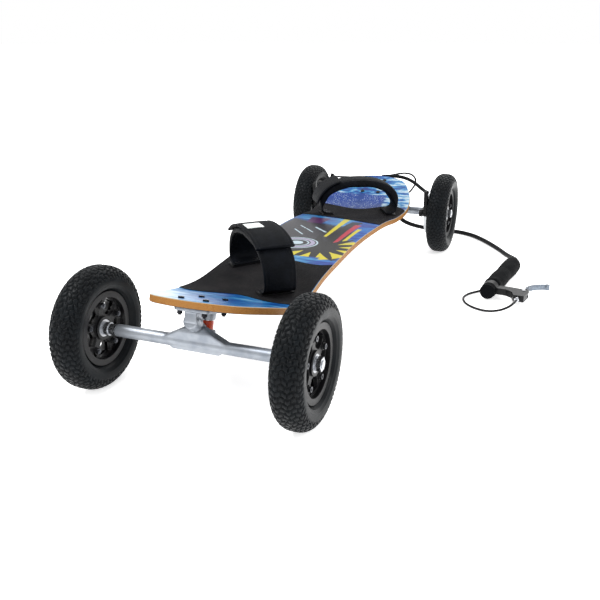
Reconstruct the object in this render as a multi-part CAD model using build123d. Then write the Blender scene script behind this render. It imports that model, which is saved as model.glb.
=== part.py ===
from build123d import *
import math
import os

# All-terrain board with a hand-operated cable brake.  Millimetres, +Z up.
# The origin is the centre of the deck's top face.  -Y is the nose, +Y the tail,
# and +X is the rider's left when riding nose first.

# ---- deck ----
DECK_THICKNESS = 12.0
FLAT_HALF = 40.0          # half of the level stretch at mid-length, along the deck
ARCH_END = 262.0          # where the falling arch ends, along the deck
ARCH_SLOPE = -7.2         # slope there, degrees
TIP_START = 395.0         # where the straight tip starts, along the deck
TIP_SLOPE = 17.8          # slope of the tips, degrees
DECK_HALF = 524.0         # half length along the deck
DECK_WAIST = 99.7         # half width at mid-length
DECK_HIP = 114.9          # half width at the widest place
CORNER_HALF = 69.2        # half width where the rounded end starts
GRIP_THICKNESS = 1.0

# ---- trucks ----
PATTERN_S = 465.0         # centre of the bolt pattern, along the deck
BOLT_X = 41.3             # bolt pattern across the board
BOLT_Y = 63.5             # bolt pattern along the board
BOLT_R = 2.5
BOLT_CLEARANCE = 0.1      # round every bolt in its hole
BOLT_HOLE_R = BOLT_R + BOLT_CLEARANCE
BOLT_HEAD_R = 4.75
BOLT_HEAD = 2.6
BOLT_HEX = 3.0
NUT_FLATS = 8.0
NUT_HEIGHT = 5.0
PLATE_THICKNESS = 6.0
PLATE_MARGIN = 8.5        # baseplate edge beyond the bolt pattern
RING_OUT = -18.9          # kingpin ring from the pattern centre, along the tip
RING_DROP = 38.7          # and below the deck's underside
PIVOT_OUT = 26.4
PIVOT_DROP = 21.7
AXLE_OUT = 6.2
AXLE_DROP = 55.1
KINGPIN_R = 5.0
KINGPIN_HEAD_FLATS = 16.0
KINGPIN_HEAD = 5.0
KINGPIN_NUT_FLATS = 15.0
KINGPIN_NUT = 8.0
SEAT_R = 13.0             # the baseplate's boss over the upper bushing
RING_R = 15.0
RING_HALF = 4.0
RING_HOLE_R = 8.5
BUSHING_R = 10.5
UPPER_BUSHING = 14.5
LOWER_BUSHING = 8.0
WASHER_THICKNESS = 1.5
WASHER_R = 11.5
BUSHING_CLEAR_R = 12.5    # the hanger is cut back this far round each bushing
NOSE_R = 6.0              # pivot nose of the hanger
NOSE_CLEARANCE = 0.05
CUP_WALL = 3.0
CUP_DEPTH = 16.0
CUP_BOSS_WALL = 3.5
NECK_R = 8.5              # of the hanger, behind its pivot nose
NECK_CLEAR_R = 9.8        # the baseplate is cut back this far round it
HANGER_R = 10.0
HANGER_HALF = 142.0
AXLE_R = 6.0
AXLE_NUT = 8.0
AXLE_NUT_FLATS = 19.0
AXLE_WASHER = 1.6
SPACER_R = 9.0
SPACER_WALL = 2.0         # of the spacer between a wheel's bearings
SHOULDER_R = 10.5
SHOULDER_STEP = 13.0

# ---- wheels ----
HALF_TRACK = 179.0
TYRE_R = 100.0
TYRE_HALF = 25.0
TYRE_WALL = 4.0
BEAD_R = 53.0
FLANGE_R = 60.0
FLANGE_IN = 14.0          # inner face of a rim flange from the wheel's mid-plane
FLANGE_THICKNESS = 3.0
BARREL_WALL = 3.0
HUB_R = 19.0
HUB_HALF = 13.0
HUB_BORE_R = 9.0
BEARING_R = 14.0
BEARING_WIDTH = 8.0
RUNNING = 0.04            # radial running clearance
SIDE_GAP = 0.15           # end clearance beside a turning part
SPOKES = 5
SPOKE_INNER = 3.0         # spoke disc faces from the mid-plane
SPOKE_OUTER = 9.0
HUB_BOLT_PCR = 38.0
HUB_BOLT_R = 2.5
HUB_BOLT_HOLE_R = HUB_BOLT_R + BOLT_CLEARANCE

# ---- brakes ----
ROTOR_R = 55.0
ROTOR_WALL = 2.5
ROTOR_FACE = 142.0        # inner edge of the rotor ring from the centre line
PAD_GAP = 2.4
PAD_THICKNESS = 6.0
ARM_THICKNESS = 8.0
ARM_FACE = 143.5          # inner face of a brake arm from the centre line
ARM_PIVOT_OUT = 64.0      # arm pivot from the axle, along the board
ARM_PIVOT_UP = 10.0
ARM_TOP = 68.0
POST_R = 4.0
BRACKET_FACE = 133.0
BRACKET_THICKNESS = 7.0

# ---- bindings ----
STRAP_WIDTH = 65.0
STRAP_HALF_SPAN = 99.0
STRAP_HEIGHT = 96.0
STRAP_THICKNESS = 10.0
BAND_WIDTH = 88.0
BAND_THICKNESS = 6.0
BAND_HALF_SPAN = 62.0
FOOT_PLATE = (24.0, 60.0, 3.0)
FOOT_PLATE_OUT = 76.0
FOOT_BOLT_R = 3.0
FOOT_BOLT_SPACING = 36.0
# centre x, centre y and the strap's direction in plan, degrees from +X
BINDINGS = ((-2.5, -249.5, -45.8), (10.0, 288.0, 29.8))

# ---- hand brake ----
GRIP_R = 20.0
TUBE_R = 11.1
TUBE_WALL = 2.0
GRIP_START = 34.0
GRIP_END = 226.0
CAP_R = 16.0
CAP_LENGTH = 14.0
CLAMP_R = 17.0
CLAMP_START = 14.3
CLAMP_LENGTH = 19.4
LEVER_PIVOT = (26.0, 70.0)
LEVER_PIN_R = 2.5
LEVER_THICKNESS = 6.0
BODY_THICKNESS = 14.0
BLADE_WIDTH = 12.0
BLADE_THICKNESS = 5.0
HANDLE_END = (348.0, 141.0)
HANDLE_ANGLE = 82.4       # of the handle's axis in plan, degrees from +X

# ---- cords ----
LEASH_D = 11.0
SLEEVE_D = 9.0
CABLE_D = 5.0


def deck_point(s, depth=0.0):
    """Y, Z and slope in degrees at arc length s, at a depth below the top."""
    spans = ((FLAT_HALF, 0.0), (ARCH_END - FLAT_HALF, ARCH_SLOPE),
             (TIP_START - ARCH_END, TIP_SLOPE), (1000.0, TIP_SLOPE))
    y, z, slope, left = 0.0, 0.0, 0.0, abs(s)
    for length, end_slope in spans:
        step = min(left, length)
        turn = math.radians(end_slope) - slope
        if abs(turn) < 1e-9:
            y += step * math.cos(slope)
            z += step * math.sin(slope)
        elif step > 0:
            radius = length / turn
            new_slope = slope + step / radius
            y += radius * (math.sin(new_slope) - math.sin(slope))
            z += radius * (math.cos(slope) - math.cos(new_slope))
            slope = new_slope
        left -= step
        if left <= 0:
            break
    y += depth * math.sin(slope)
    z -= depth * math.cos(slope)
    side = -1.0 if s < 0 else 1.0
    return side * y, z, side * math.degrees(slope)


def deck_curve(depth):
    """The deck's long section at a depth, nose to tail, as lines and arcs."""
    stops = (-DECK_HALF, -TIP_START, -ARCH_END, -FLAT_HALF,
             FLAT_HALF, ARCH_END, TIP_START, DECK_HALF)
    edges = []
    for start, end in zip(stops, stops[1:]):
        a = deck_point(start, depth)[:2]
        b = deck_point(end, depth)[:2]
        if start in (-DECK_HALF, -FLAT_HALF, TIP_START):
            edges.append(Line(a, b))
        else:
            edges.append(ThreePointArc(a, deck_point((start + end) / 2, depth)[:2], b))
    return edges


def deck_slab(top, bottom, half_width):
    """Everything between two depths of the deck's section."""
    upper = deck_curve(top)
    lower = deck_curve(bottom)
    ends = [Line(upper[0] @ 0, lower[0] @ 0), Line(upper[-1] @ 1, lower[-1] @ 1)]
    section = make_face(upper + lower + ends)
    return extrude(Plane.YZ * section, half_width, both=True)


def deck_outline(inset=0.0):
    """The deck's plan, a waisted outline with rounded ends, as a tall prism."""
    side_s = (0.0, 120.0, 220.0, 300.0, 361.0, 421.0, 461.0, 484.0)
    side_w = (0.0, 0.18, 0.26, 0.62, 1.0, 0.5, -0.45, -1.12)
    reach = DECK_HIP - DECK_WAIST
    points = []
    for s, share in zip(side_s, side_w):
        points.append((DECK_WAIST + share * reach - inset, deck_point(s)[0]))
    points.append((CORNER_HALF - inset, deck_point(DECK_HALF - 22.0)[0] - inset))
    tip = (0.0, deck_point(DECK_HALF)[0] - inset)
    curve = Spline(*points, tangents=((0, 1), (-0.86, 0.5)))
    end = ThreePointArc(curve @ 1, tip, (-(curve @ 1).X, (curve @ 1).Y))
    edges = [curve, mirror(curve, Plane.YZ), end]
    edges += [mirror(edge, Plane.XZ) for edge in edges]
    return extrude(make_face(edges), 300.0, both=True)


def tube(outer, inner, length):
    """A hollow cylinder that stands on its own plane."""
    ring = Cylinder(outer, length, align=(Align.CENTER, Align.CENTER, Align.MIN))
    hole = Cylinder(inner, length, align=(Align.CENTER, Align.CENTER, Align.MIN))
    return ring - hole


def rod(radius, length):
    return Cylinder(radius, length, align=(Align.CENTER, Align.CENTER, Align.MIN))


def hexagon(across_flats, length, bore=0.0):
    prism = extrude(RegularPolygon(across_flats / 2, 6, major_radius=False), length)
    return prism - rod(bore, length) if bore else prism


def turned(shape):
    """The same piece at the nose: half a turn about the board's middle."""
    return Rot(0, 0, 180) * shape


def save(name, *shapes):
    solids = []
    for shape in shapes:
        solids += list(shape.solids())
    whole = solids[0] if len(solids) == 1 else Compound(children=solids)
    export_step(whole, f"parts/{name}.step")


os.makedirs("parts", exist_ok=True)

# ---- reference places at the tail ----
under_y, under_z, tip_slope = deck_point(PATTERN_S, DECK_THICKNESS)
along = Vector(0, math.cos(math.radians(tip_slope)), math.sin(math.radians(tip_slope)))
up = Vector(0, -along.Z, along.Y)
under = Vector(0, under_y, under_z)
ring_at = under + along * RING_OUT - up * RING_DROP
pivot_at = under + along * PIVOT_OUT - up * PIVOT_DROP
axle_at = under + along * AXLE_OUT - up * AXLE_DROP
truck_plane = Plane(origin=under, x_dir=(1, 0, 0), z_dir=up)
ring_plane = Plane(origin=ring_at, x_dir=(1, 0, 0), z_dir=up)
steer_axis = (pivot_at - ring_at).normalized()
steer_plane = Plane(origin=ring_at, x_dir=(1, 0, 0), z_dir=steer_axis)
pivot_reach = (pivot_at - ring_at).length
GROUND = axle_at.Z - TYRE_R
bolt_places = [(x * BOLT_X / 2, y * BOLT_Y / 2) for x in (-1, 1) for y in (-1, 1)]
print("ground", round(GROUND, 2), "axle", axle_at, "ring", ring_at, "pivot", pivot_at)
print("steer axis", steer_axis)

# ---- deck and grip ----
foot_places = []
for centre_x, centre_y, angle in BINDINGS:
    for side in (-1, 1):
        foot_x = centre_x + side * FOOT_PLATE_OUT * math.cos(math.radians(angle))
        foot_y = centre_y + side * FOOT_PLATE_OUT * math.sin(math.radians(angle))
        foot_s = foot_y * 1.004
        y, z, slope = deck_point(foot_s)
        lift = GRIP_THICKNESS
        normal = Vector(0, -math.sin(math.radians(slope)), math.cos(math.radians(slope)))
        origin = Vector(foot_x, y, z) + normal * lift
        x_dir = Vector(math.cos(math.radians(angle)), math.sin(math.radians(angle)), 0)
        x_dir = (x_dir - normal * x_dir.dot(normal)).normalized()
        foot_places.append(Plane(origin=origin, x_dir=x_dir, z_dir=normal))
outline = deck_outline()
deck = deck_slab(0.0, DECK_THICKNESS, 140.0) & outline
grip = deck_slab(-GRIP_THICKNESS, 0.0, 140.0) & deck_outline(1.5)
for x, y in bolt_places:
    hole = truck_plane * Pos(x, y, -50) * rod(BOLT_HOLE_R, 100)
    deck = deck - hole - turned(hole)
foot_holes = []
for place in foot_places:
    for y in (-FOOT_BOLT_SPACING / 2, FOOT_BOLT_SPACING / 2):
        foot_holes.append(place * Pos(0, y, -30) * rod(FOOT_BOLT_R, 60))
for hole in foot_holes:
    deck = deck - hole
    grip = grip - hole
save("deck", deck)

front_grip = Spline((-125, -333), (-60, -352), (0, -340), (50, -358), (125, -344))
front_back = Spline((125, -132), (60, -165), (0, -155), (-60, -172), (-125, -160))
rear_front = Spline((-125, 209), (-40, 206), (40, 183), (125, 155))
rear_back = Spline((125, 330), (60, 363), (0, 333), (-50, 340), (-125, 354))
grips = []
for first, second in ((front_grip, front_back), (rear_front, rear_back)):
    sides = [Line(first @ 1, second @ 0), Line(second @ 1, first @ 0)]
    patch = make_face([first, second] + sides)
    grips.append(grip & extrude(patch, 200.0, both=True))
save("grip_tape", *grips)

# ---- truck bolts, nuts, baseplates and kingpins ----
bolt_length = DECK_THICKNESS + PLATE_THICKNESS + 7.0
bolt = Pos(0, 0, -bolt_length) * rod(BOLT_R, bolt_length)
bolt += rod(BOLT_HEAD_R, BOLT_HEAD) - Pos(0, 0, 1.0) * hexagon(BOLT_HEX, BOLT_HEAD)
nut = hexagon(NUT_FLATS, NUT_HEIGHT, BOLT_R)
bolts = []
nuts = []
for x, y in bolt_places:
    bolts.append(truck_plane * Pos(x, y, DECK_THICKNESS) * bolt)
    nuts.append(truck_plane * Pos(x, y, -PLATE_THICKNESS - NUT_HEIGHT) * nut)
save("truck_bolts", *bolts, *[turned(b) for b in bolts])
save("truck_nuts", *nuts, *[turned(n) for n in nuts])

seat_drop = RING_DROP - RING_HALF - UPPER_BUSHING - WASHER_THICKNESS
plate_x = BOLT_X + 2 * PLATE_MARGIN
plate_y = BOLT_Y + 2 * PLATE_MARGIN
plate = extrude(RectangleRounded(plate_x, plate_y, 8.0), -PLATE_THICKNESS)
plate += Pos(0, RING_OUT, -seat_drop) * rod(SEAT_R, seat_drop)
cup_r = NOSE_R + NOSE_CLEARANCE + CUP_WALL
cup_start = pivot_reach - 11.0
plate += Pos(0, PIVOT_OUT - 1.0, -PIVOT_DROP / 2) * Box(20.0, 22.0, PIVOT_DROP)
plate = truck_plane * plate
plate += steer_plane * Pos(0, 0, cup_start) * rod(cup_r + CUP_BOSS_WALL, CUP_DEPTH + 3.0)
plate -= steer_plane * Pos(0, 0, cup_start) * rod(cup_r, CUP_DEPTH)
plate -= steer_plane * rod(NECK_CLEAR_R, cup_start)
plate -= truck_plane * Box(200, 200, 40, align=(Align.CENTER, Align.CENTER, Align.MIN))
for x, y in bolt_places:
    plate -= truck_plane * Pos(x, y, -20) * rod(BOLT_HOLE_R, 40)
plate -= truck_plane * Pos(0, RING_OUT, -KINGPIN_HEAD) * hexagon(KINGPIN_HEAD_FLATS, KINGPIN_HEAD)
plate -= truck_plane * Pos(0, RING_OUT, -60) * rod(KINGPIN_R, 80)
save("baseplates", plate, turned(plate))

cup = rod(cup_r, CUP_DEPTH)
cup -= rod(NOSE_R + NOSE_CLEARANCE, 7.0)
cup -= Pos(0, 0, 7.0) * Sphere(NOSE_R + NOSE_CLEARANCE)
cup = steer_plane * Pos(0, 0, cup_start) * cup
save("pivot_cups", cup, turned(cup))

nut_at = RING_HALF + LOWER_BUSHING + WASHER_THICKNESS
kingpin = Pos(0, 0, -nut_at - KINGPIN_NUT - 2.5)
kingpin *= rod(KINGPIN_R, nut_at + KINGPIN_NUT + 2.5 + RING_DROP)
kingpin += Pos(0, 0, RING_DROP - KINGPIN_HEAD) * hexagon(KINGPIN_HEAD_FLATS, KINGPIN_HEAD)
kingpin = ring_plane * kingpin
save("kingpins", kingpin, turned(kingpin))
kingpin_nut = ring_plane * Pos(0, 0, -nut_at - KINGPIN_NUT)
kingpin_nut *= hexagon(KINGPIN_NUT_FLATS, KINGPIN_NUT, KINGPIN_R)
save("kingpin_nuts", kingpin_nut, turned(kingpin_nut))
washer = tube(WASHER_R, KINGPIN_R, WASHER_THICKNESS)
washers = [ring_plane * Pos(0, 0, -nut_at) * washer,
           ring_plane * Pos(0, 0, RING_HALF + UPPER_BUSHING) * washer]
save("bushing_washers", *washers, *[turned(w) for w in washers])
bushings = [ring_plane * Pos(0, 0, RING_HALF) * tube(BUSHING_R, KINGPIN_R, UPPER_BUSHING),
            ring_plane * Pos(0, 0, -RING_HALF - LOWER_BUSHING)
            * tube(BUSHING_R, KINGPIN_R, LOWER_BUSHING)]
save("rear_bushings", *bushings)
save("front_bushings", *[turned(b) for b in bushings])

# ---- hangers and axles ----
across = Plane(origin=axle_at, x_dir=(0, 1, 0), z_dir=(1, 0, 0))
face_on = Plane(origin=axle_at, x_dir=(1, 0, 0), z_dir=(0, -1, 0))
hump = Polygon((-56, 6), (-15, 27), (15, 27), (56, 6), (40, -12), (-40, -12),
               align=None)
hanger = face_on * extrude(hump, 8.0, both=True)
hanger += across * Pos(0, 0, -HANGER_HALF) * rod(HANGER_R, 2 * HANGER_HALF)
ring_out = ring_at - axle_at
neck = Polygon((ring_out.Y + 9, ring_out.Z + 6), (0, 9), (0, -9),
               (ring_out.Y + 9, ring_out.Z - 2), align=None)
hanger += across * extrude(neck, 11.0, both=True)
hanger -= steer_plane * Pos(0, 0, cup_start - 1.5) * rod(80.0, 60.0)
hanger += ring_plane * Pos(0, 0, -RING_HALF) * rod(RING_R, 2 * RING_HALF)
hanger += steer_plane * Pos(0, 0, 14.0) * rod(NECK_R, cup_start - 15.5)
hanger += steer_plane * Pos(0, 0, 14.0) * rod(NOSE_R, cup_start + 7.0 - 14.0)
hanger += steer_plane * Pos(0, 0, cup_start + 7.0) * Sphere(NOSE_R)
hanger -= ring_plane * Pos(0, 0, -30) * rod(RING_HOLE_R, 60)
hanger -= ring_plane * Pos(0, 0, RING_HALF) * rod(BUSHING_CLEAR_R, 40)
hanger -= ring_plane * Pos(0, 0, -RING_HALF - 40) * rod(BUSHING_CLEAR_R, 40)
hanger -= across * Pos(0, 0, -HANGER_HALF) * rod(AXLE_R, 2 * HANGER_HALF)
save("rear_hanger", hanger)
save("front_hanger", turned(hanger))

nut_in = HUB_HALF + AXLE_WASHER
axle_half = HALF_TRACK + nut_in + AXLE_NUT + 1.4
axle = across * Pos(0, 0, -axle_half) * rod(AXLE_R, 2 * axle_half)
save("rear_axle", axle)
save("front_axle", turned(axle))

inner_spacer = tube(AXLE_R + SPACER_WALL, AXLE_R, 2 * (HUB_HALF - BEARING_WIDTH - SIDE_GAP))
hub_face = HALF_TRACK - HUB_HALF - SIDE_GAP
hardware = []
for side in (-1, 1):
    half = Plane(origin=axle_at, x_dir=(0, 1, 0), z_dir=(side, 0, 0))
    hardware.append(half * Pos(0, 0, HANGER_HALF) * tube(SPACER_R, AXLE_R, SHOULDER_STEP))
    hardware.append(half * Pos(0, 0, HANGER_HALF + SHOULDER_STEP)
                    * tube(SHOULDER_R, AXLE_R, hub_face - HANGER_HALF - SHOULDER_STEP))
    middle = HALF_TRACK - (HUB_HALF - BEARING_WIDTH - SIDE_GAP)
    hardware.append(half * Pos(0, 0, middle) * inner_spacer)
    hardware.append(half * Pos(0, 0, HALF_TRACK + HUB_HALF + SIDE_GAP)
                    * tube(SHOULDER_R, AXLE_R, AXLE_WASHER - SIDE_GAP))
    hardware.append(half * Pos(0, 0, HALF_TRACK + nut_in)
                    * hexagon(AXLE_NUT_FLATS, AXLE_NUT, AXLE_R))
save("rear_axle_hardware", *hardware)
save("front_axle_hardware", *[turned(h) for h in hardware])

# ---- one wheel, standing on its mid-plane with its outer face up ----
bead_top = FLANGE_R + 0.5
outer = [Line((FLANGE_IN, BEAD_R), (FLANGE_IN, bead_top)),
         Spline((FLANGE_IN, bead_top), (TYRE_HALF - 3, 67), (TYRE_HALF, 79),
                (TYRE_HALF - 4.5, 93), (0, TYRE_R), tangents=((1, 0.3), (-1, 0)))]
inner = [Spline((FLANGE_IN - TYRE_WALL, BEAD_R), (TYRE_HALF - 4 - TYRE_WALL, 69),
                (TYRE_HALF - TYRE_WALL, 79), (TYRE_HALF - 5.5 - TYRE_WALL, 88),
                (0, TYRE_R - 1.5 * TYRE_WALL), tangents=((0.1, 1), (-1, 0)))]
bead = Line(outer[0] @ 0, inner[0] @ 0)
half_section = outer + inner + [bead]
section = make_face(half_section + [mirror(edge, Plane.YZ) for edge in half_section])
tyre = revolve(Plane.XZ * section, Axis.X)
tyre = Rot(0, -90, 0) * tyre

flange_out = FLANGE_IN + FLANGE_THICKNESS
rim_half = tube(BEAD_R, BEAD_R - BARREL_WALL, flange_out)
rim_half += Pos(0, 0, FLANGE_IN) * tube(FLANGE_R, BEAD_R - BARREL_WALL, FLANGE_THICKNESS)
disc = Pos(0, 0, SPOKE_INNER) * rod(BEAD_R - 1, SPOKE_OUTER - SPOKE_INNER)
window = []
for radius, half_angle in ((23.0, 20.0), (36.0, 25.5), (48.6, 18.0)):
    window.append((radius, half_angle))
step_angle = 360.0 / SPOKES
boss_height = SPOKE_OUTER + 2.0
for spoke in range(SPOKES):
    middle = (spoke + 0.5) * step_angle
    corners = []
    for radius, half_angle in window:
        corners.append((radius, middle - half_angle))
    for radius, half_angle in reversed(window):
        corners.append((radius, middle + half_angle))
    corners = [(r * math.cos(math.radians(a)), r * math.sin(math.radians(a)))
               for r, a in corners]
    opening = fillet(Polygon(*corners, align=None).vertices(), 2.5)
    disc -= extrude(opening, 20.0)
    spoke_turn = Rot(0, 0, spoke * step_angle)
    disc -= spoke_turn * Pos(46.0, 0, 0) * extrude(SlotOverall(12.0, 4.6, rotation=90), 20.0)
    disc += spoke_turn * Pos(HUB_BOLT_PCR, 0, 0) * rod(6.0, boss_height)
rim_half += disc
rim_half += rod(HUB_R, HUB_HALF)
for spoke in range(SPOKES):
    spoke_turn = Rot(0, 0, spoke * step_angle)
    rim_half -= spoke_turn * Pos(HUB_BOLT_PCR, 0, 0) * rod(HUB_BOLT_HOLE_R, 30.0)
rim_half -= rod(HUB_BORE_R, 30.0)
rim_half -= Pos(0, 0, HUB_HALF - BEARING_WIDTH) * rod(BEARING_R, 30.0)
rim_back = mirror(rim_half, Plane.XY)
bearing = tube(BEARING_R, AXLE_R + RUNNING, BEARING_WIDTH)
bearings = [Pos(0, 0, HUB_HALF - BEARING_WIDTH) * bearing, Pos(0, 0, -HUB_HALF) * bearing]


def hub_bolts(nut_face):
    """Bolts from the outer face, with nuts that seat on nut_face."""
    pieces = []
    for spoke in range(SPOKES):
        place = Rot(0, 0, spoke * step_angle) * Pos(HUB_BOLT_PCR, 0, 0)
        length = boss_height + nut_face + 6.0
        shank = Pos(0, 0, -nut_face - 6.0) * rod(HUB_BOLT_R, length)
        head = Pos(0, 0, boss_height) * (rod(4.4, 3.6) - Pos(0, 0, 1.4) * hexagon(4.0, 3.0))
        pieces.append(place * (shank + head))
        pieces.append(place * Pos(0, 0, -nut_face - 4.5) * hexagon(8.0, 4.5, HUB_BOLT_R))
    return pieces


# ---- rotor, on the inner face of a rear wheel ----
web = 2.5
rotor_depth = HALF_TRACK - boss_height - ROTOR_FACE
step_up = 7.5
rotor = tube(HUB_BOLT_PCR + 9.0, HUB_R + 9.0, web)
rotor += tube(HUB_BOLT_PCR + 9.0, HUB_BOLT_PCR + 6.5, step_up + web)
rotor += Pos(0, 0, step_up) * tube(ROTOR_R, HUB_BOLT_PCR + 6.5, web)
rotor += Pos(0, 0, step_up) * tube(ROTOR_R, ROTOR_R - ROTOR_WALL, rotor_depth - step_up)
for spoke in range(SPOKES):
    spoke_turn = Rot(0, 0, spoke * step_angle)
    rotor -= spoke_turn * Pos(HUB_BOLT_PCR, 0, 0) * rod(HUB_BOLT_HOLE_R, 10.0)
rotor = Pos(0, 0, -boss_height) * mirror(rotor, Plane.XY)

for side_name, side in (("left", 1), ("right", -1)):
    for end_name, end in (("front", -1), ("rear", 1)):
        place = Plane(origin=(side * HALF_TRACK, end * axle_at.Y, axle_at.Z),
                      x_dir=(0, 0, 1), z_dir=(side, 0, 0))
        name = f"{end_name}_{side_name}"
        nut_face = boss_height + (web if end > 0 else 0.0)
        save(f"{name}_tyre", place * tyre)
        save(f"{name}_rim_outer", place * rim_half)
        save(f"{name}_rim_inner", place * rim_back)
        save(f"{name}_bearings", *[place * b for b in bearings])
        save(f"{name}_hub_bolts", *[place * b for b in hub_bolts(nut_face)])
        if end > 0:
            save(f"{side_name}_rotor", place * rotor)

# ---- brake brackets and arms on the rear hanger, drawn side-on about the axle ----
beam = Pos(0, 9) * Rectangle(2 * ARM_PIVOT_OUT, 16.0)
bracket = beam + Circle(HANGER_R + 7.0)
for end in (-1, 1):
    bracket += Pos(end * ARM_PIVOT_OUT, ARM_PIVOT_UP) * Circle(9.0)
bracket -= Circle(HANGER_R)
bracket = Pos(0, 0, BRACKET_FACE) * extrude(bracket, BRACKET_THICKNESS)
for end in (-1, 1):
    post_length = ARM_FACE + ARM_THICKNESS + 1.0 - BRACKET_FACE
    bracket += (Pos(end * ARM_PIVOT_OUT, ARM_PIVOT_UP, BRACKET_FACE)
                * rod(POST_R, post_length))
left_bracket = across * bracket
save("brake_brackets", left_bracket, mirror(left_bracket, Plane.YZ))

pad_back = ROTOR_R + PAD_GAP + PAD_THICKNESS
blade = Polygon((ARM_PIVOT_OUT - 5, ARM_PIVOT_UP), (ARM_PIVOT_OUT + 6, ARM_PIVOT_UP),
                (ARM_PIVOT_OUT + 11, ARM_TOP - 3), (ARM_PIVOT_OUT + 8, ARM_TOP),
                (ARM_PIVOT_OUT + 2, ARM_TOP), (ARM_PIVOT_OUT - 3, ARM_PIVOT_UP + 32),
                align=None)
holder = Polygon((44, 44), (52, 24), (ARM_PIVOT_OUT + 2, 24), (ARM_PIVOT_OUT + 2, 48),
                 align=None)
arm = blade + (holder - Circle(pad_back)) + Pos(ARM_PIVOT_OUT, ARM_PIVOT_UP) * Circle(8.0)
arm -= Pos(ARM_PIVOT_OUT, ARM_PIVOT_UP) * Circle(POST_R + RUNNING)
arm = extrude(arm, ARM_THICKNESS)
pad_ring = Circle(pad_back) - Circle(ROTOR_R + PAD_GAP)
pad_wedge = Polygon((0, 0), (90, 34), (90, 100), (86, 90), align=None)
pad = extrude(pad_ring & pad_wedge, ARM_THICKNESS)
arm_place = across * Pos(0, 0, ARM_FACE)
for side_name, side in (("left", 1), ("right", -1)):
    for end_name, end in (("front", -1), ("back", 1)):
        pieces = []
        for piece in (arm, pad):
            piece = piece if end > 0 else mirror(piece, Plane.YZ)
            piece = arm_place * piece
            pieces.append(piece if side > 0 else mirror(piece, Plane.YZ))
        save(f"{side_name}_brake_arm_{end_name}", *pieces)

# ---- bindings ----
ground_cut = deck_slab(-GRIP_THICKNESS, 120.0, 200.0)
straps = []
bands = []
for centre_x, centre_y, angle in BINDINGS:
    s = centre_y * 1.004
    foot_z = deck_point(s)[1]
    place = Plane(origin=(centre_x, centre_y, foot_z),
                  x_dir=(math.cos(math.radians(angle)), math.sin(math.radians(angle)), 0),
                  z_dir=(math.sin(math.radians(angle)), -math.cos(math.radians(angle)), 0))
    arcs = []
    for inset in (0.0, STRAP_THICKNESS, -BAND_THICKNESS):
        half = STRAP_HALF_SPAN - inset
        high = STRAP_HEIGHT - inset
        arcs.append(Spline((-half, -30), (-half, 0), (-0.95 * half, 0.48 * high),
                           (-0.70 * half, 0.86 * high), (0, high),
                           (0.70 * half, 0.86 * high), (0.95 * half, 0.48 * high),
                           (half, 0), (half, -30)))
    sheets = []
    for one, other in ((arcs[0], arcs[1]), (arcs[2], arcs[0])):
        joins = [Line(one @ 0, other @ 0), Line(one @ 1, other @ 1)]
        sheets.append(make_face([one, other] + joins))
    strap = place * extrude(sheets[0], STRAP_WIDTH / 2, both=True)
    straps.append(strap - ground_cut)
    band = extrude(sheets[1], BAND_WIDTH / 2, both=True)
    band &= Pos(0, STRAP_HEIGHT, 0) * Box(2 * BAND_HALF_SPAN, 90.0, 200.0)
    bands.append(place * band)
save("binding_straps", *straps)
save("binding_bands", *bands)

plates = []
plate_bolts = []
for place in foot_places:
    foot = Box(*FOOT_PLATE, align=(Align.CENTER, Align.CENTER, Align.MIN))
    foot = place * foot - ground_cut
    for y in (-FOOT_BOLT_SPACING / 2, FOOT_BOLT_SPACING / 2):
        foot -= place * Pos(0, y, -10) * rod(FOOT_BOLT_R, 30)
        shank = Pos(0, 0, -DECK_THICKNESS) * rod(FOOT_BOLT_R, DECK_THICKNESS + FOOT_PLATE[2])
        head = Pos(0, 0, FOOT_PLATE[2]) * (rod(5.2, 2.8) - Pos(0, 0, 1.2) * hexagon(4.0, 2.0))
        plate_bolts.append(place * Pos(0, y, 0) * (shank + head))
    plates.append(foot)
save("binding_plates", *plates)
save("binding_bolts", *plate_bolts)

# ---- hand brake, lying on the ground; drawn along the handle's axis ----
axis_dir = Vector(math.cos(math.radians(HANDLE_ANGLE)), math.sin(math.radians(HANDLE_ANGLE)), 0)
side_dir = Vector(axis_dir.Y, -axis_dir.X, 0)
handle_origin = Vector(HANDLE_END[0], HANDLE_END[1], GROUND + GRIP_R)
bar = Plane(origin=handle_origin, x_dir=side_dir, z_dir=axis_dir)
flat = Plane(origin=handle_origin, x_dir=axis_dir, z_dir=(0, 0, -1))


def handle_point(a, b, height):
    """World point from distance along the handle, out to its side, and above ground."""
    point = handle_origin + axis_dir * a + side_dir * b
    return (point.X, point.Y, GROUND + height)


handle_tube = bar * Pos(0, 0, 4.0) * tube(TUBE_R, TUBE_R - TUBE_WALL, GRIP_END - 14.0)
save("handle_tube", handle_tube)
cap = rod(CAP_R, CAP_LENGTH) - Pos(0, 0, 4.0) * rod(TUBE_R, 20.0)
cap += Pos(0, 0, 4.0) * rod(TUBE_R - TUBE_WALL, 8.0)
save("handle_end_cap", bar * cap)

cable_in = handle_point(62.0, -13.0, 7.0)
cable_from = handle_point(44.0, -27.0, 3.5)
grip_body = fillet((Pos(0, 0, GRIP_START) * rod(GRIP_R, GRIP_END - GRIP_START)).edges(), 4.0)
grip_body -= Pos(0, 0, GRIP_START - 1) * rod(TUBE_R, GRIP_END - 10.0 - GRIP_START + 1)
grip_body = bar * grip_body
cable_dir = (Vector(*cable_in) - Vector(*cable_from)).normalized()
cable_port = Plane(origin=cable_in, z_dir=cable_dir)
grip_body -= cable_port * Pos(0, 0, -40) * rod(CABLE_D / 2, 40)
save("handle_grip", grip_body)

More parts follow.
